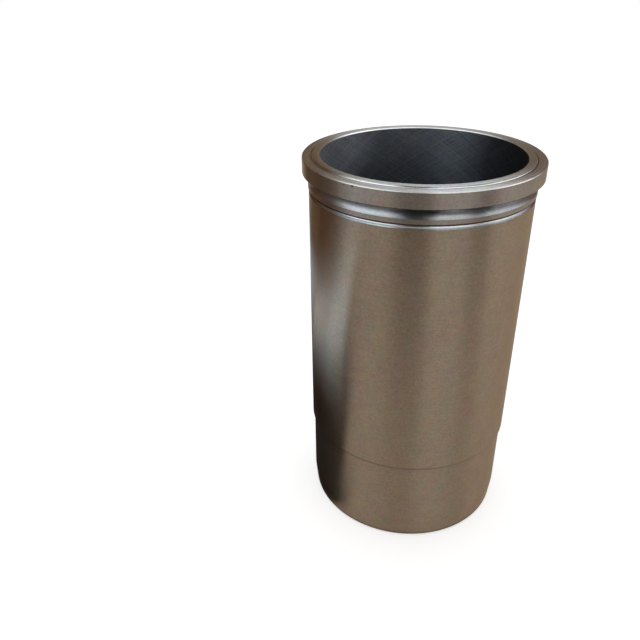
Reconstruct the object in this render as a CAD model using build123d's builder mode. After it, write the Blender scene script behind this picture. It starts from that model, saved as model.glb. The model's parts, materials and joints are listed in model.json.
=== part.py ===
from build123d import *
import os

# Wet cylinder liner for a heavy diesel engine: one iron casting, turned, ground and honed.
# Millimetres. +Z runs up the bore axis, and the origin is the centre of the lower end face.

# Driving dimensions
bore_diameter = 128.0
overall_length = 260.8

fire_ring_diameter = 137.4  # raised land round the bore that the head gasket seals on
fire_ring_height = 1.0
fire_ring_foot_radius = 0.8

flange_diameter = 150.6
flange_thickness = 10.0
flange_edge_break = 0.5

upper_pilot_diameter = 143.4  # short centring land below the flange
upper_pilot_width = 2.8

relief_width = 6.6  # hollow turned between the flange seat and the upper pilot
relief_depth = 2.0  # also the radius of the hollow's corner under the seat

body_diameter = 142.6  # wall that the coolant flows round

slot_depth = 0.7  # narrow groove between the upper pilot and the body, stepped on its lower side
slot_floor_width = 1.2
slot_flank_height = 0.55  # slope from the floor out to the step
slot_step_depth = 0.25
slot_step_height = 0.7
slot_edge_height = 0.75  # slope from the step out to the body

lower_pilot_diameter = 140.0  # ground land that slides into the block's seal rings
lower_pilot_height = 64.0
shoulder_height = 1.6  # slope from the pilot out to the body

lead_in_height = 14.2  # taper that spreads the seal rings as the liner goes in
lead_in_end_diameter = 137.2
lower_end_edge_radius = 2.0

bore_top_chamfer = 0.6
bore_bottom_chamfer = 0.3

# Radii
bore_radius = bore_diameter / 2
fire_ring_radius = fire_ring_diameter / 2
flange_radius = flange_diameter / 2
upper_pilot_radius = upper_pilot_diameter / 2
relief_radius = upper_pilot_radius - relief_depth
body_radius = body_diameter / 2
slot_radius = body_radius - slot_depth
slot_step_radius = body_radius - slot_step_depth
lower_pilot_radius = lower_pilot_diameter / 2
lead_in_end_radius = lead_in_end_diameter / 2

# Heights above the lower end face
body_bottom = lower_pilot_height + shoulder_height
flange_top = overall_length - fire_ring_height
flange_seat = flange_top - flange_thickness
relief_deepest = flange_seat - relief_depth
upper_pilot_top = flange_seat - relief_width
upper_pilot_bottom = upper_pilot_top - upper_pilot_width
slot_floor_bottom = upper_pilot_bottom - slot_floor_width
slot_step_top = slot_floor_bottom - slot_flank_height
slot_step_bottom = slot_step_top - slot_step_height
body_top = slot_step_bottom - slot_edge_height

# Circles are told apart by height and radius to within this distance
tolerance = 0.01


def rim(height, radius):
    """Circular edge of the liner at this height, with this radius."""
    at_height = cylinder_liner.edges().filter_by_position(Axis.Z, height - tolerance, height + tolerance)
    return at_height.filter_by(lambda edge: abs(edge.radius - radius) < tolerance)


with BuildPart() as cylinder_liner:
    # Section of the wall, outside profile first, revolved round the bore axis
    with BuildSketch(Plane.XZ):
        with BuildLine():
            Polyline(
                (bore_radius, 0),
                (lead_in_end_radius, 0),
                (lower_pilot_radius, lead_in_height),
                (lower_pilot_radius, lower_pilot_height),
                (body_radius, body_bottom),
                (body_radius, body_top),
                (slot_step_radius, slot_step_bottom),
                (slot_step_radius, slot_step_top),
                (slot_radius, slot_floor_bottom),
                (slot_radius, upper_pilot_bottom),
                (upper_pilot_radius, upper_pilot_bottom),
                (upper_pilot_radius, upper_pilot_top),
            )
            # Hollow: a long arc up and in from the pilot's edge, and a tight one out to the seat
            TangentArc(
                (relief_radius, relief_deepest),
                (upper_pilot_radius, upper_pilot_top),
                tangent=(0, -1),
            )
            TangentArc(
                (relief_radius, relief_deepest),
                (upper_pilot_radius, flange_seat),
                tangent=(0, 1),
            )
            Polyline(
                (upper_pilot_radius, flange_seat),
                (flange_radius, flange_seat),
                (flange_radius, flange_top),
                (fire_ring_radius, flange_top),
                (fire_ring_radius, overall_length),
                (bore_radius, overall_length),
                (bore_radius, 0),
            )
        make_face()
    revolve(axis=Axis.Z)

    # Bore: chamfer at the gasket face that leads the piston rings in, and a fine edge break below
    chamfer(rim(overall_length, bore_radius), length=bore_top_chamfer)
    chamfer(rim(0, bore_radius), length=bore_bottom_chamfer)

    # Flange: both outer edges broken, and a small radius at the foot of the fire ring
    chamfer(rim(flange_top, flange_radius) + rim(flange_seat, flange_radius), length=flange_edge_break)
    fillet(rim(flange_top, fire_ring_radius), radius=fire_ring_foot_radius)

    # Lower end: the taper runs out in a full round
    fillet(rim(0, lead_in_end_radius), radius=lower_end_edge_radius)

cylinder_liner.part.label = "cylinder_liner"

os.makedirs("parts", exist_ok=True)
export_step(cylinder_liner.part, "parts/cylinder_liner.step")
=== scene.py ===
# Looks of a wet cylinder liner: ground and turned iron outside, honed bore, on a white studio floor.
# Metres. +Z runs up the bore axis, and the origin is the centre of the lower end face.

import json
import math

import bmesh
import bpy
from mathutils import Matrix, Vector


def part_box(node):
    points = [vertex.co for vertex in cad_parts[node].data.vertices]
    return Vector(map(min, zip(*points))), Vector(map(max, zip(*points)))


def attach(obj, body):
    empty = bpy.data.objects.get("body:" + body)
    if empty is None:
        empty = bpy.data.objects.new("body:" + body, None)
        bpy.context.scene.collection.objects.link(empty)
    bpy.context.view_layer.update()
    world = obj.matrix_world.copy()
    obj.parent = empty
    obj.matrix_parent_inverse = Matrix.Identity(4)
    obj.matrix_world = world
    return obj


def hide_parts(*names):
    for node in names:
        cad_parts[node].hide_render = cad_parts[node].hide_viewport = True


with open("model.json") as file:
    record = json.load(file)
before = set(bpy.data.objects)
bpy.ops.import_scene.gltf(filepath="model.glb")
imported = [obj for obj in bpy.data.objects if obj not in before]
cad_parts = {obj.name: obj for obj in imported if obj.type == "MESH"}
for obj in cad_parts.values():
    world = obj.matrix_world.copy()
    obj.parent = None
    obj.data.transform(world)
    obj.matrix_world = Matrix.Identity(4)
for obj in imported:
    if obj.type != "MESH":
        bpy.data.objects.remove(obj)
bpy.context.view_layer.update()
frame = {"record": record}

MM = 0.001

# Section of the wall, the same as the solid's
cad_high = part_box("cylinder_liner")[1]
bore_mount = next(mount for mount in frame["record"]["mounts"] if mount["name"] == "bore")
overall_length = cad_high.z
flange_radius = cad_high.x
bore_radius = bore_mount["dims"]["r_mm"] * MM

fire_ring_radius = 68.7 * MM
fire_ring_height = 1.0 * MM
fire_ring_foot = 0.8 * MM

flange_thickness = 10.0 * MM
flange_edge_break = 0.5 * MM

upper_pilot_radius = 71.7 * MM
upper_pilot_width = 2.8 * MM

relief_width = 6.6 * MM
relief_depth = 2.0 * MM

body_radius = 71.3 * MM

slot_depth = 0.7 * MM
slot_floor_width = 1.2 * MM
slot_flank_height = 0.55 * MM
slot_step_depth = 0.25 * MM
slot_step_height = 0.7 * MM
slot_edge_height = 0.75 * MM

lower_pilot_radius = 70.0 * MM
lower_pilot_height = 64.0 * MM
shoulder_height = 1.6 * MM

lead_in_height = 14.2 * MM
lead_in_end_radius = 68.6 * MM
lower_end_round = 2.0 * MM

bore_top_chamfer = 0.6 * MM
bore_bottom_chamfer = 0.3 * MM

edge_wear = 0.12 * MM  # radius that handling and polishing leave on a sharp outer edge
sharp_edge_wear = 0.04 * MM  # the same, where the edge shelters in a groove
tool_nose = 0.12 * MM  # radius that the turning tool leaves in an inner corner

# Fineness of the mesh
turns = 400  # faces round the axis
relief_steps = 16  # faces along each arc of the hollow
round_steps = 5  # faces across a small rounded corner
flattest_corner = math.radians(2)  # a smaller bend is no corner to round
largest_smooth_step = math.radians(20)

# Heights above the lower end face
body_bottom = lower_pilot_height + shoulder_height
flange_top = overall_length - fire_ring_height
flange_seat = flange_top - flange_thickness
relief_radius = upper_pilot_radius - relief_depth
relief_deepest = flange_seat - relief_depth
upper_pilot_top = flange_seat - relief_width
upper_pilot_bottom = upper_pilot_top - upper_pilot_width
slot_radius = body_radius - slot_depth
slot_step_radius = body_radius - slot_step_depth
slot_floor_bottom = upper_pilot_bottom - slot_floor_width
slot_step_top = slot_floor_bottom - slot_flank_height
slot_step_bottom = slot_step_top - slot_step_height
body_top = slot_step_bottom - slot_edge_height

# Where the painted shade on the slot's floor ends, part of the way down its flank
shaded_part = 0.25
shade_edge_height = slot_floor_bottom - shaded_part * slot_flank_height
shade_edge_radius = slot_radius + shaded_part * (slot_step_radius - slot_radius)

# Camera, placed from the rim's ellipses and the outlines of the wall
image_size = 640  # pixels
focal_length_pixels = 657.8
sensor_width = 36.0  # millimetres
camera_distance = 412.3 * MM  # from the bore axis
camera_height = 372.4 * MM
camera_pitch = math.radians(29.55)  # down
camera_yaw = math.radians(9.11)  # to the left of the axis
camera_roll = math.radians(0.83)
nearest_seen = 10 * MM


# ---------------------------------------------------------------- objects


def in_scene(name, data):
    """A new object in the scene, with this data."""
    made = bpy.data.objects.new(name, data)
    bpy.context.scene.collection.objects.link(made)
    return made


def mesh_object(name, mesh, materials):
    """A new object in the scene, with this mesh and these materials."""
    data = bpy.data.meshes.new(name)
    mesh.to_mesh(data)
    mesh.free()
    for material in materials:
        data.materials.append(material)
    return in_scene(name, data)


# ---------------------------------------------------------------- section and mesh


def relief_arc(end):
    """Points of one side of the hollow, from its deepest circle out to this height at the pilot."""
    height = end - relief_deepest
    arc_radius = (height**2 + relief_depth**2) / (2 * relief_depth)
    lip_angle = math.asin(height / arc_radius)
    points = []
    for step in range(relief_steps):
        angle = lip_angle * step / relief_steps
        radius = relief_radius + arc_radius * (1 - math.cos(angle))
        points.append((radius, relief_deepest + arc_radius * math.sin(angle)))
    return points


def relief_points():
    """Points of the hollow below the flange, from its lower lip up to the seat."""
    below = relief_arc(upper_pilot_top)
    above = relief_arc(flange_seat)
    return list(reversed(below)) + above[1:]


def corners():
    """Corners of the section: radius, height, rounding there, and the surface that follows."""
    yield bore_radius + bore_bottom_chamfer, 0.0, edge_wear, "faced"
    yield lead_in_end_radius, 0.0, lower_end_round, "ground"
    yield lower_pilot_radius, lead_in_height, edge_wear, "ground"
    yield lower_pilot_radius, lower_pilot_height, tool_nose, "ground"
    yield body_radius, body_bottom, edge_wear, "ground"
    yield body_radius, body_top, edge_wear, "slotted"
    yield slot_step_radius, slot_step_bottom, tool_nose, "slotted"
    yield slot_step_radius, slot_step_top, edge_wear, "slotted"
    # The slot's floor and upper wall, and the top of its flank, take a dark finish that is painted shade.
    yield shade_edge_radius, shade_edge_height, 0.0, "painted_shade"
    yield slot_radius, slot_floor_bottom, tool_nose, "painted_shade"
    yield slot_radius, upper_pilot_bottom, tool_nose, "painted_shade"
    yield upper_pilot_radius, upper_pilot_bottom, sharp_edge_wear, "machined"
    yield upper_pilot_radius, upper_pilot_top, edge_wear, "turned"
    for radius, height in relief_points():
        yield radius, height, 0.0, "turned"
    yield upper_pilot_radius, flange_seat, 0.0, "faced"
    # The flange's lower edge takes the same dark finish, painted shade.
    yield flange_radius - flange_edge_break, flange_seat, edge_wear, "painted_shade"
    yield flange_radius, flange_seat + flange_edge_break, edge_wear, "machined"
    yield flange_radius, flange_top - flange_edge_break, edge_wear, "faced"
    yield flange_radius - flange_edge_break, flange_top, edge_wear, "faced"
    yield fire_ring_radius, flange_top, fire_ring_foot, "cut"
    yield fire_ring_radius, overall_length, edge_wear, "faced"
    yield bore_radius + bore_top_chamfer, overall_length, edge_wear, "cut"
    yield bore_radius, overall_length - bore_top_chamfer, edge_wear, "honed"
    yield bore_radius, bore_bottom_chamfer, edge_wear, "faced"


def rounded(before, corner, after, rounding):
    """Points of an arc that rounds a corner, tangent to the runs on both sides."""
    corner = Vector(corner)
    back = (Vector(before) - corner).normalized()
    ahead = (Vector(after) - corner).normalized()
    half_angle = back.angle(ahead) / 2
    if rounding == 0.0 or math.pi - 2 * half_angle < flattest_corner:
        return [corner]
    reach = rounding / math.tan(half_angle)
    middle = corner + (back + ahead).normalized() * (rounding / math.sin(half_angle))
    start = (corner + back * reach - middle).normalized()
    end = (corner + ahead * reach - middle).normalized()
    parts = [step / round_steps for step in range(round_steps + 1)]
    return [middle + start.slerp(end, part) * rounding for part in parts]


def section():
    """The closed section as points, each with the surface of the run that follows it."""
    spots = list(corners())
    points = []
    for index, (radius, height, rounding, surface) in enumerate(spots):
        before = spots[index - 1][:2]
        after = spots[(index + 1) % len(spots)][:2]
        for point in rounded(before, (radius, height), after, rounding):
            points.append((point[0], point[1], surface))
    return points


def lathe(name, materials):
    """The section turned round the axis as one closed mesh, with one material for each surface."""
    points = section()
    order = list(materials)
    mesh = bmesh.new()
    rings = []
    for turn in range(turns):
        angle = 2 * math.pi * turn / turns
        across, along = math.cos(angle), math.sin(angle)
        rings.append([mesh.verts.new((r * across, r * along, z)) for r, z, _ in points])
    for turn, ring in enumerate(rings):
        following = rings[(turn + 1) % turns]
        for index, (_, _, surface) in enumerate(points):
            onward = (index + 1) % len(points)
            face = mesh.faces.new((ring[index], following[index], following[onward], ring[onward]))
            face.material_index = order.index(surface)
            face.smooth = True
    bmesh.ops.recalc_face_normals(mesh, faces=mesh.faces)
    made = mesh_object(name, mesh, materials.values())
    made.data.set_sharp_from_angle(angle=largest_smooth_step)
    made.modifiers.new("shading", "WEIGHTED_NORMAL").keep_sharp = True
    return made


# ---------------------------------------------------------------- materials


# Noise gives values round a half, and nearly all of them lie between these two
NOISE_LOW = 0.3
NOISE_HIGH = 0.7

# What a finish returns at a glancing angle
EDGE_TINT = (0.66, 0.57, 0.49, 1)  # bare iron, through its film of oil
SLOT_SHADE_EDGE_TINT = (0.22, 0.18, 0.15, 1)  # in the slot, kept low so that its sides darken at a glancing view, as painted shade
SHADE_EDGE_TINT = (0.10, 0.07, 0.05, 1)  # in the corners painted dark as shade

# Marks of the tools
HONE_RISE = math.radians(32)  # of the honing scratches, from level
SCRATCH_LENGTH = 60 * MM
SCRATCH_WIDTH = 1.1 * MM
SCRATCH_DEPTH = 0.10 * MM
LINE_DEPTH = 0.02 * MM
ROUGHNESS_SPREAD = 0.04  # by which the marks raise and lower a finish's roughness
ALONG_THE_MARKS = 0.25  # turn of the gloss that lays its short side along lines round the axis

# Handling and storage
MOTTLING = 0.42  # by how much the colour drifts in all
MOTTLES_PER_METRE = 90.0
SPECKLING = 0.14  # by how much a speck is lighter or darker
SPECKS_PER_METRE = 700.0

# Painted shade and painted highlight, and the flange's nicks. A darkness is the part of the light that is
# left.
HOLLOW_SHADE_DARKNESS = 0.55  # painted shade in the hollow under the flange
HOLLOW_SHADE_START = 3.2 * MM  # how far below the hollow's deepest circle the painted shade begins
HOLLOW_SHADE_FULL = 0.6 * MM  # and how far below it the painted shade is full
HOLLOW_SHADE_RAGGEDNESS = 0.6 * MM
HOLLOW_SHADE_PATCHES_PER_METRE = 60.0
HOLLOW_DARK_SPOT_DARKNESS = 0.3  # painted darker spots, on top of the painted shade
HOLLOW_DARK_SPOTS = (  # painted darker spots in the hollow's corner, the one at the front a painted dark reflection: azimuth in degrees, and size
    (1, 18 * MM),
    (27, 12 * MM),
    (74, 24 * MM),
)
HOLLOW_DARK_PATCHES = (  # painted darker patches over the hollow, the one at the front a painted dark reflection: azimuth in degrees, size, and darkness
    (1, 11 * MM, 0.55),
    (76, 36 * MM, 0.6),
)
SLOT_PAINTED_SHADE = (  # painted shade at the slot's left and right sides, which the upper pilot shades: azimuth in degrees, size, and darkness
    (-75, 72 * MM, 0.62),
    (88, 44 * MM, 0.45),
)
BORE_PAINTED_LIGHT = (  # painted shade on the right and deep on the back left, and a painted highlight high on the left: azimuth in degrees, distance below the top, size, and darkness
    (108, 20 * MM, 64 * MM, 0.25),
    (195, 50 * MM, 44 * MM, 0.6),
    (245, 5 * MM, 40 * MM, 1.8),  # painted highlight
)
RING_SHADE_DARKNESS = 0.12  # painted shade in the corner round the fire ring
RING_SHADE_LINE = (0.15 * MM, 0.5 * MM)  # distances from the corner at which it is still full and all gone
SHOULDER_SHADE_DARKNESS = 0.72  # painted shade in the corner below the shoulder
SHOULDER_SHADE_LINE = (0.2 * MM, 1.0 * MM)
FOOT_SHADE_DARKNESS = 0.40  # painted shade, darker towards the lower end
NICK_DARKNESS = 0.12
NICKS = (  # azimuth in degrees, distance below the flange's top face, and size
    (-29.2, 1.0 * MM, 0.8 * MM),
    (-33.5, 1.2 * MM, 0.5 * MM),
    (65.2, 1.0 * MM, 0.7 * MM),
)


def add(tree, kind, inputs=None, **settings):
    """A new node, with its settings made and its inputs set or linked."""
    made = tree.nodes.new(kind)
    for name, value in settings.items():
        setattr(made, name, value)
    for key, value in (inputs or {}).items():
        if isinstance(value, bpy.types.NodeSocket):
            tree.links.new(value, made.inputs[key])
        else:
            made.inputs[key].default_value = value
    return made


def calculate(tree, operation, first, second=0.0):
    return add(tree, "ShaderNodeMath", {0: first, 1: second}, operation=operation).outputs[0]


def remap(tree, value, low, high, low_result, high_result):
    span = {"From Min": low, "From Max": high, "To Min": low_result, "To Max": high_result}
    return add(tree, "ShaderNodeMapRange", {"Value": value, **span}).outputs["Result"]


def between(tree, value, low_result, high_result):
    """Noise, turned into a value that stays between these two."""
    return remap(tree, value, NOISE_LOW, NOISE_HIGH, low_result, high_result)


def place(tree):
    """Where a point of the liner is, in metres."""
    return add(tree, "ShaderNodeTexCoord").outputs["Object"]


def noise(tree, vector, detail, scale=1.0, roughness=0.5):
    inputs = {"Vector": vector, "Scale": scale, "Detail": detail, "Roughness": roughness}
    return add(tree, "ShaderNodeTexNoise", inputs).outputs["Fac"]


def height_of(tree):
    return add(tree, "ShaderNodeSeparateXYZ", {0: place(tree)}).outputs["Z"]


def multiplied(tree, vector, factors):
    product = add(tree, "ShaderNodeVectorMath", {0: vector, 1: factors}, operation="MULTIPLY")
    return product.outputs["Vector"]


def radius_of(tree):
    flat = multiplied(tree, place(tree), (1, 1, 0))
    return add(tree, "ShaderNodeVectorMath", {0: flat}, operation="LENGTH").outputs["Value"]


def round_lines(length, width):
    """Maker of fine lines round the wall, as a grinding wheel or a turning tool leaves them."""
    def lines(tree):
        stretched = multiplied(tree, place(tree), (1 / length, 1 / length, 1 / width))
        return noise(tree, stretched, detail=4, roughness=0.6)
    return lines


def face_rings(length, width):
    """Maker of fine rings about the axis, as facing leaves them on a flat end."""
    def lines(tree):
        along = multiplied(tree, place(tree), (1 / length, 1 / length, 0))
        outwards = calculate(tree, "MULTIPLY", radius_of(tree), 1 / width)
        across = add(tree, "ShaderNodeCombineXYZ", {"Z": outwards}).outputs[0]
        stretched = add(tree, "ShaderNodeVectorMath", {0: along, 1: across}, operation="ADD")
        return noise(tree, stretched.outputs["Vector"], detail=4, roughness=0.6)
    return lines


def helix_lines(tree, rise):
    """Scratches along a helix in the bore, which rises by this angle from level."""
    twist = 1 / (bore_radius * math.tan(rise))
    angle = calculate(tree, "MULTIPLY", height_of(tree), twist)
    inputs = {"Vector": place(tree), "Angle": angle}
    untwisted = add(tree, "ShaderNodeVectorRotate", inputs, rotation_type="Z_AXIS").outputs["Vector"]
    across = 1 / (SCRATCH_WIDTH * math.cos(rise))
    stretched = multiplied(tree, untwisted, (across, across, 1 / SCRATCH_LENGTH))
    return noise(tree, stretched, detail=5, roughness=0.75)


def cross_hatch(tree):
    """The two crossing sets of scratches that a hone leaves."""
    return calculate(tree, "MAXIMUM", helix_lines(tree, HONE_RISE), helix_lines(tree, -HONE_RISE))


def mottled(tree, colour):
    """The colour, drifting a little between warm and cold over the surface."""
    inputs = {"Vector": place(tree), "Scale": MOTTLES_PER_METRE, "Detail": 5.0, "Roughness": 0.7}
    drift = add(tree, "ShaderNodeTexNoise", inputs).outputs["Color"]
    low = 1 - MOTTLING / 2
    spread = {0: drift, 1: (MOTTLING, MOTTLING, MOTTLING), 2: (low, low, low)}
    factor = add(tree, "ShaderNodeVectorMath", spread, operation="MULTIPLY_ADD").outputs["Vector"]
    return multiplied(tree, factor, colour)


def changed_at(tree, light, azimuth, radius, height, size, part):
    """The light, with this part of it left in a soft spot round this place on the wall."""
    angle = math.radians(azimuth)
    spot = (radius * math.sin(angle), -radius * math.cos(angle), height)
    distance = add(tree, "ShaderNodeVectorMath", {0: place(tree), 1: spot}, operation="DISTANCE")
    left = remap(tree, distance.outputs["Value"], size / 2, size, part, 1.0)
    return calculate(tree, "MULTIPLY", left, light)


def line_of_painted_shade(tree, value, corner, line, darkness):
    """Light left by a thin line of painted shade where this radius or height passes a corner's."""
    distance = calculate(tree, "ABSOLUTE", calculate(tree, "SUBTRACT", value, corner))
    return remap(tree, distance, *line, darkness, 1.0)


def hollow_painted_shade(tree):
    """Light left by the painted shade in the hollow: all of it at the lower lip, half of it under the
    flange, with painted darker spots and patches.
    """
    patches = noise(tree, place(tree), detail=4, scale=HOLLOW_SHADE_PATCHES_PER_METRE)
    ragged = between(tree, patches, -HOLLOW_SHADE_RAGGEDNESS, HOLLOW_SHADE_RAGGEDNESS)
    height = calculate(tree, "ADD", height_of(tree), ragged)
    darkest = HOLLOW_SHADE_DARKNESS
    for azimuth, size in HOLLOW_DARK_SPOTS:
        darkest = changed_at(tree, darkest, azimuth, relief_radius, relief_deepest, size, HOLLOW_DARK_SPOT_DARKNESS)
    light = remap(tree, height, relief_deepest - HOLLOW_SHADE_START, relief_deepest - HOLLOW_SHADE_FULL, 1.0, darkest)
    for azimuth, size, darkness in HOLLOW_DARK_PATCHES:
        light = changed_at(tree, light, azimuth, relief_radius, relief_deepest, size, darkness)
    return light


def slot_painted_shade(tree):
    """Light left by painted shade at the left and right sides of the slot below the upper pilot."""
    light = 1.0
    for azimuth, size, darkness in SLOT_PAINTED_SHADE:
        light = changed_at(tree, light, azimuth, slot_step_radius, slot_step_top, size, darkness)
    return light


def bore_painted_light(tree):
    """Light painted into the bore: painted shade on one side and further down, and a painted highlight on
    the other.
    """
    light = 1.0
    for azimuth, below_top, size, darkness in BORE_PAINTED_LIGHT:
        height = overall_length - below_top
        light = changed_at(tree, light, azimuth, bore_radius, height, size, darkness)
    return light


def ring_painted_shade(tree):
    """Light left by a thin line of painted shade in the corner round the fire ring."""
    corner = fire_ring_radius + fire_ring_foot
    return line_of_painted_shade(tree, radius_of(tree), corner, RING_SHADE_LINE, RING_SHADE_DARKNESS)


def wall_painted_shade(tree):
    """Light left by painted shade in the shoulder's corner and towards the lower end."""
    in_corner = line_of_painted_shade(tree, height_of(tree), lower_pilot_height, SHOULDER_SHADE_LINE, SHOULDER_SHADE_DARKNESS)
    at_end = remap(tree, height_of(tree), 0.0, 2 * lower_end_round, FOOT_SHADE_DARKNESS, 1.0)
    return calculate(tree, "MULTIPLY", in_corner, at_end)


def nicks(tree):
    """Light left by the small dark nicks in the flange's edge."""
    light = 1.0
    for azimuth, below_top, size in NICKS:
        height = flange_top - below_top
        light = changed_at(tree, light, azimuth, flange_radius, height, size, NICK_DARKNESS)
    return light


def marked(tree, colour, marks, contrast, wear_and_painted_light):
    """The colour, with its tool marks, specks and drift, and the nicks and painted light that it is given.
    """
    shade = between(tree, marks, 1 - contrast, 1 + contrast)
    specks = noise(tree, place(tree), detail=3, scale=SPECKS_PER_METRE, roughness=0.7)
    shade = calculate(tree, "MULTIPLY", shade, between(tree, specks, 1 - SPECKLING, 1 + SPECKLING))
    if wear_and_painted_light:
        shade = calculate(tree, "MULTIPLY", shade, wear_and_painted_light(tree))
    tint = add(tree, "ShaderNodeVectorMath", {0: mottled(tree, colour), "Scale": shade}, operation="SCALE")
    return tint.outputs["Vector"]


def metal(
    name, colour, contrast, roughness, anisotropy, lines, depth=LINE_DEPTH, wear_and_painted_light=None, edge_tint=EDGE_TINT
):
    """Iron whose tool marks vary its colour, roughness and height, and which handling has mottled."""
    material = bpy.data.materials.new(name)
    material.use_nodes = True
    tree = material.node_tree
    marks = lines(tree)
    rough = between(tree, marks, roughness - ROUGHNESS_SPREAD, roughness + ROUGHNESS_SPREAD)
    bump = add(tree, "ShaderNodeBump", {"Height": marks, "Distance": depth, "Strength": 1.0})
    tangent = add(tree, "ShaderNodeTangent", direction_type="RADIAL", axis="Z")
    shader = tree.nodes["Principled BSDF"]
    shader.inputs["Metallic"].default_value = 1.0
    shader.inputs["Specular Tint"].default_value = edge_tint
    shader.inputs["Anisotropic"].default_value = anisotropy
    shader.inputs["Anisotropic Rotation"].default_value = ALONG_THE_MARKS
    tree.links.new(marked(tree, colour, marks, contrast, wear_and_painted_light), shader.inputs["Base Color"])
    tree.links.new(rough, shader.inputs["Roughness"])
    tree.links.new(bump.outputs["Normal"], shader.inputs["Normal"])
    tree.links.new(tangent.outputs["Tangent"], shader.inputs["Tangent"])
    return material


def ground_iron():
    """The long outer faces, brown from storage, with painted shade below the shoulder and towards the
    lower end.
    """
    return metal(
        "ground_iron", colour=(0.228, 0.168, 0.1175), contrast=0.10, roughness=0.40, anisotropy=0.93,
        lines=round_lines(10 * MM, 0.6 * MM), wear_and_painted_light=wall_painted_shade,
    )


def machined_iron():
    """The flange's side and the upper pilot, a little greyer than the body."""
    return metal(
        "machined_iron", colour=(0.228, 0.188, 0.155), contrast=0.07, roughness=0.40, anisotropy=0.93,
        lines=round_lines(40 * MM, 0.5 * MM), wear_and_painted_light=nicks,
    )


def turned_iron():
    """The hollow, left as turned, with painted shade towards the flange."""
    return metal(
        "turned_iron", colour=(0.34, 0.34, 0.34), contrast=0.10, roughness=0.35, anisotropy=0.8,
        lines=round_lines(80 * MM, 0.4 * MM), wear_and_painted_light=hollow_painted_shade,
    )


def cut_iron():
    """Narrow slopes at the top that still have the tool's shine, with a line of painted shade at the fire
    ring's foot.
    """
    return metal(
        "cut_iron", colour=(0.46, 0.46, 0.46), contrast=0.08, roughness=0.32, anisotropy=0.7,
        lines=round_lines(80 * MM, 0.4 * MM), wear_and_painted_light=ring_painted_shade,
    )


def slotted_iron():
    """The slot's stepped side, nearly as shiny, with painted shade at its left and right sides."""
    return metal(
        "slotted_iron", colour=(0.47, 0.47, 0.47), contrast=0.08, roughness=0.32, anisotropy=0.7,
        lines=round_lines(80 * MM, 0.4 * MM), wear_and_painted_light=slot_painted_shade, edge_tint=SLOT_SHADE_EDGE_TINT,
    )


def painted_shade_iron():
    """The slot's floor, its upper wall and the top of its flank, and the flange's lower edge, painted dark
    as shade.
    """
    return metal(
        "painted_shade_iron", colour=(0.070, 0.050, 0.040), contrast=0.15, roughness=0.50, anisotropy=0.5,
        lines=round_lines(20 * MM, 0.4 * MM), edge_tint=SHADE_EDGE_TINT,
    )


def faced_iron():
    """The end faces, with a line of painted shade round the fire ring."""
    return metal(
        "faced_iron", colour=(0.41, 0.405, 0.395), contrast=0.30, roughness=0.36, anisotropy=0.85,
        lines=face_rings(80 * MM, 0.9 * MM), wear_and_painted_light=ring_painted_shade,
    )


def honed_iron():
    """The bore, with painted shade and a painted highlight in patches."""
    return metal(
        "honed_iron", colour=(0.27, 0.285, 0.315), contrast=0.75, roughness=0.38, anisotropy=0.0,
        lines=cross_hatch, depth=SCRATCH_DEPTH, wear_and_painted_light=bore_painted_light,
    )


# ---------------------------------------------------------------- studio


FLOOR_SIZE = 8.0
FLOOR_COLOUR = 0.8
WORLD_LIGHT = 0.5  # strength of the world on the object and the floor
FLOOR_GLOW = 0.60  # what the lit floor lacks to be white to the camera and in reflections

LAMP_SIZE = 1.8
LAMP_DISTANCE = 1.4
LAMP_ELEVATION = math.radians(80)
LAMP_RADIANCE = 0.6

# Dome of screens, which stand for the room. The metal alone mirrors them.
DOME_RADIUS = 0.7
DOME_CENTRE = 0.2  # height above the floor
FACE_SPAN = 5  # most degrees that one face of a screen or card takes up
SCREENS = (  # left and right azimuth, lowest and highest elevation in degrees, and radiance
    ("camera_side", -21, 13, -16, 50, (0.015, 0.01, 0.01)),
    ("camera_top", -21, 13, 50, 65, (0.10, 0.06, 0.06)),
    ("left_glow", -85, -21, -16, -5, (0.12, 0.12, 0.12)),
    ("left_horizon", -85, -21, -5, 15, (0.15, 0.14, 0.14)),
    ("left_sky_low", -75, -30, 15, 30, (2.0, 2.4, 2.6)),
    ("left_sky", -80, -21, 30, 50, (3.2, 3.4, 3.7)),
    ("left_high", -135, -21, 50, 65, (1.9, 1.8, 1.75)),
    ("left_shade", -135, -85, -16, 45, (0.17, 0.08, 0.04)),
    ("back_left_shade", -180, -135, 5, 45, (0.33, 0.25, 0.17)),
    ("right_glow", 13, 50, -16, -5, (1.6, 1.9, 2.1)),
    ("right_horizon", 13, 50, -5, 30, (0.14, 0.14, 0.15)),
    ("right_sky", 13, 50, 30, 65, (3.1, 3.2, 3.15)),
    ("right_gap", 50, 70, -12, 40, (0.08, 0.08, 0.09)),
    ("gap_sky", 50, 70, 40, 65, (2.15, 2.25, 2.45)),
    ("far_glow", 70, 135, -16, -5, (1.8, 2.0, 2.2)),
    ("far_horizon", 70, 135, -5, 20, (0.35, 0.28, 0.20)),
    ("far_low", 70, 130, 20, 30, (1.4, 1.6, 1.9)),
    ("far_sky", 70, 110, 30, 65, (2.6, 2.6, 2.5)),
    ("far_sky_back", 110, 130, 30, 65, (3.6, 3.5, 3.4)),
    ("back_shade", 135, 180, 5, 45, (0.35, 0.28, 0.22)),
    ("back_sky", 135, 180, 45, 65, (2.4, 2.9, 3.3)),
    ("back_left_sky", -180, -135, 45, 65, (1.2, 1.4, 1.5)),
    ("zenith", -180, 180, 65, 85, (1.9, 1.95, 2.0)),
)

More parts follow.
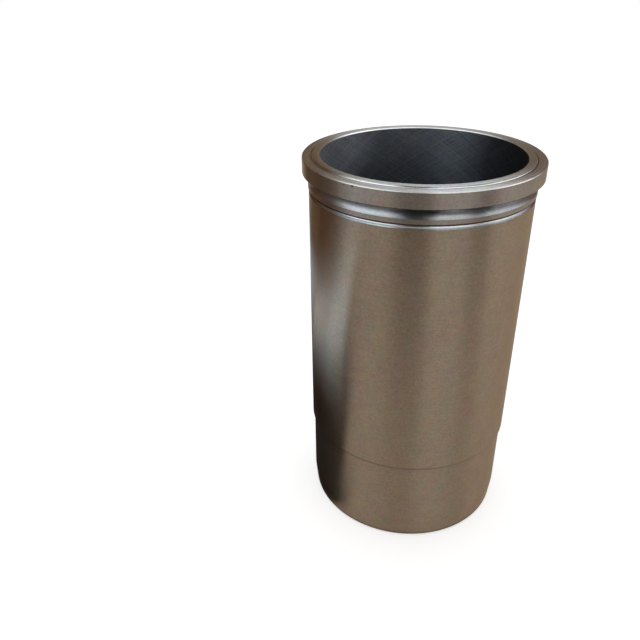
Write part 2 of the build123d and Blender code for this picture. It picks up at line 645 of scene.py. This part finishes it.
# Cards on the left, which stand for a second liner that lies there along Y
CARD_RADIUS = 70 * MM
CARD_AXIS = -162 * MM
CARD_HEIGHT = 66 * MM  # of the axis, above the floor
CARD_FRONT = -84 * MM
CARD_JOIN = -34 * MM
CARD_FAR = 28 * MM
CARD_BACK = 250 * MM
ROLLED_CARDS = (  # front and back, lowest and highest angle round the axis in degrees, and radiance
    ("card_low", CARD_FRONT, CARD_BACK, -60, 20, (0.03, 0.015, 0.005)),
    ("card_front_middle", CARD_FRONT, CARD_JOIN, 20, 50, (0.15, 0.15, 0.15)),
    ("card_front_top", CARD_FRONT, CARD_JOIN, 50, 70, (4.9, 6.9, 9.4)),
    ("card_back_middle", CARD_JOIN, CARD_FAR, 20, 50, (0.05, 0.05, 0.05)),
    ("card_back_top", CARD_JOIN, CARD_FAR, 50, 70, (3.7, 5.2, 7.3)),
    ("card_far_middle", CARD_FAR, CARD_BACK, 20, 57, (0.04, 0.03, 0.02)),
    ("card_far_top", CARD_FAR, CARD_BACK, 57, 70, (3.9, 5.9, 8.6)),
    ("card_crown", CARD_FRONT, CARD_BACK, 70, 120, (0.25, 0.17, 0.10)),
)

# Flat cards under them, which stand for the floor in that liner's shade
FLAT_CARD_LIFT = 1 * MM
FLAT_CARD_LEFT = -560 * MM
FLAT_CARD_RIGHT = -71 * MM
FLAT_CARD_COLOUR = (0.03, 0.015, 0.005)
FAR_FLAT_CARD_COLOUR = (0.3, 0.2, 0.12)
FLAT_CARD_CORNERS = (  # past the liner's left side, and round the front of its foot
    (CARD_AXIS, -72 * MM),
    (-53 * MM, -72 * MM),
    (-53 * MM, -47 * MM),
    (FLAT_CARD_RIGHT, -15 * MM),
    (FLAT_CARD_RIGHT, CARD_BACK),
    (CARD_AXIS, CARD_BACK),
)
FAR_FLAT_CARD_CORNERS = (
    (FLAT_CARD_LEFT, CARD_FRONT),
    (CARD_AXIS, CARD_FRONT),
    (CARD_AXIS, CARD_BACK),
    (FLAT_CARD_LEFT, CARD_BACK),
)


def seen_directly(tree):
    """1 for the rays that show the background: from the camera, off metal and through glass."""
    path = add(tree, "ShaderNodeLightPath").outputs
    seen = calculate(tree, "MAXIMUM", path["Is Camera Ray"], path["Is Glossy Ray"])
    return calculate(tree, "MAXIMUM", seen, path["Is Transmission Ray"])


def make_world():
    world = bpy.data.worlds.new("studio")
    bpy.context.scene.world = world
    world.use_nodes = True
    tree = world.node_tree
    background = tree.nodes["Background"]
    background.inputs["Color"].default_value = (1, 1, 1, 1)
    strength = remap(tree, seen_directly(tree), 0, 1, WORLD_LIGHT, 1.0)
    tree.links.new(strength, background.inputs["Strength"])


def floor_material():
    """White paint that glows where the camera or the metal sees it, but not inside the bore."""
    material = bpy.data.materials.new("white_floor")
    material.use_nodes = True
    tree = material.node_tree
    tree.nodes.clear()
    paint = add(tree, "ShaderNodeBsdfDiffuse", {"Color": (FLOOR_COLOUR, FLOOR_COLOUR, FLOOR_COLOUR, 1)})
    spot = add(tree, "ShaderNodeNewGeometry").outputs["Position"]
    distance = add(tree, "ShaderNodeVectorMath", {0: spot}, operation="LENGTH").outputs["Value"]
    outside = remap(tree, distance, bore_radius, lead_in_end_radius, 0.0, FLOOR_GLOW)
    glow_strength = calculate(tree, "MULTIPLY", seen_directly(tree), outside)
    glow = add(tree, "ShaderNodeEmission", {"Strength": glow_strength})
    both = add(tree, "ShaderNodeAddShader", {0: paint.outputs[0], 1: glow.outputs[0]})
    add(tree, "ShaderNodeOutputMaterial", {"Surface": both.outputs[0]})
    return material


def make_floor():
    mesh = bmesh.new()
    bmesh.ops.create_grid(mesh, x_segments=1, y_segments=1, size=FLOOR_SIZE / 2)
    made = mesh_object("floor", mesh, [floor_material()])


def make_lamp():
    """The one lamp, broad and soft, over the liner and a little behind it."""
    lamp = bpy.data.lights.new("overhead", "AREA")
    lamp.size = LAMP_SIZE
    lamp.energy = LAMP_RADIANCE * math.pi * LAMP_SIZE**2
    middle = Vector((0, 0, overall_length / 2))
    direction = Vector((0, math.cos(LAMP_ELEVATION), math.sin(LAMP_ELEVATION)))
    turn = direction.to_track_quat("Z", "Y").to_matrix().to_4x4()
    made = in_scene("overhead", lamp)
    made.matrix_world = Matrix.Translation(middle + direction * LAMP_DISTANCE) @ turn


def glowing(name, colour):
    material = bpy.data.materials.new(name)
    material.use_nodes = True
    tree = material.node_tree
    tree.nodes.clear()
    glow = add(tree, "ShaderNodeEmission", {"Color": (*colour, 1)})
    add(tree, "ShaderNodeOutputMaterial", {"Surface": glow.outputs[0]})
    return material


def glowing_sheet(name, mesh, colour):
    """A screen or card that shows in the metal alone: not in the picture, on the floor or as a shadow."""
    made = mesh_object(name, mesh, [glowing(name, colour)])
    made.visible_camera = False
    made.visible_diffuse = False
    made.visible_shadow = False
    made.visible_transmission = False


def angles(first, last):
    """Evenly spaced angles in radians from first to last, which are in degrees."""
    faces = math.ceil((last - first) / FACE_SPAN)
    return [math.radians(first + (last - first) * face / faces) for face in range(faces + 1)]


def curved_mesh(rows):
    """Faces between rows of points."""
    mesh = bmesh.new()
    grid = [[mesh.verts.new(point) for point in row] for row in rows]
    for below, above in zip(grid, grid[1:]):
        for column in range(len(below) - 1):
            mesh.faces.new((below[column], below[column + 1], above[column + 1], above[column]))
    return mesh


def on_dome(azimuth, elevation):
    """Place on the dome. Azimuth 0 is towards the camera, and grows to the right."""
    out = DOME_RADIUS * math.cos(elevation)
    height = DOME_CENTRE + DOME_RADIUS * math.sin(elevation)
    return out * math.sin(azimuth), -out * math.cos(azimuth), height


def screen(name, left, right, low, high, colour):
    """Part of the dome."""
    across = angles(left, right)
    rows = [[on_dome(azimuth, elevation) for azimuth in across] for elevation in angles(low, high)]
    glowing_sheet(name, curved_mesh(rows), colour)


def rolled_card(name, front, back, low, high, colour):
    """Part of a roll about the cards' axis."""
    rows = []
    for angle in angles(low, high):
        x = CARD_AXIS + CARD_RADIUS * math.cos(angle)
        z = CARD_HEIGHT + CARD_RADIUS * math.sin(angle)
        rows.append([(x, front, z), (x, back, z)])
    glowing_sheet(name, curved_mesh(rows), colour)


def flat_card(name, places, colour):
    """Card that lies just above the floor, with its corners at these places."""
    mesh = bmesh.new()
    mesh.faces.new([mesh.verts.new((x, y, FLAT_CARD_LIFT)) for x, y in places])
    glowing_sheet(name, mesh, colour)


def make_studio():
    make_world()
    make_floor()
    make_lamp()
    for values in SCREENS:
        screen(*values)
    flat_card("card_floor", FLAT_CARD_CORNERS, FLAT_CARD_COLOUR)
    flat_card("card_floor_far", FAR_FLAT_CARD_CORNERS, FAR_FLAT_CARD_COLOUR)
    for values in ROLLED_CARDS:
        rolled_card(*values)


def make_camera():
    data = bpy.data.cameras.new("camera")
    data.sensor_width = sensor_width
    data.lens = sensor_width * focal_length_pixels / image_size
    data.clip_start = nearest_seen
    camera = in_scene("camera", data)
    forward = Vector((
        -math.sin(camera_yaw) * math.cos(camera_pitch),
        math.cos(camera_yaw) * math.cos(camera_pitch),
        -math.sin(camera_pitch),
    ))
    level = Vector((math.cos(camera_yaw), math.sin(camera_yaw), 0))
    upright = level.cross(forward)
    right = level * math.cos(camera_roll) - upright * math.sin(camera_roll)
    up = level * math.sin(camera_roll) + upright * math.cos(camera_roll)
    turn = Matrix((right, up, -forward)).transposed().to_4x4()
    camera.matrix_world = Matrix.Translation((0, -camera_distance, camera_height)) @ turn
    bpy.context.scene.camera = camera


make_camera()
make_studio()
surfaces = {
    "ground": ground_iron(),
    "machined": machined_iron(),
    "turned": turned_iron(),
    "cut": cut_iron(),
    "slotted": slotted_iron(),
    "painted_shade": painted_shade_iron(),
    "faced": faced_iron(),
    "honed": honed_iron(),
}
liner = lathe("liner_finish", surfaces)
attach(liner, "root")
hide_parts("cylinder_liner")

bpy.context.scene.view_settings.view_transform = "Standard"
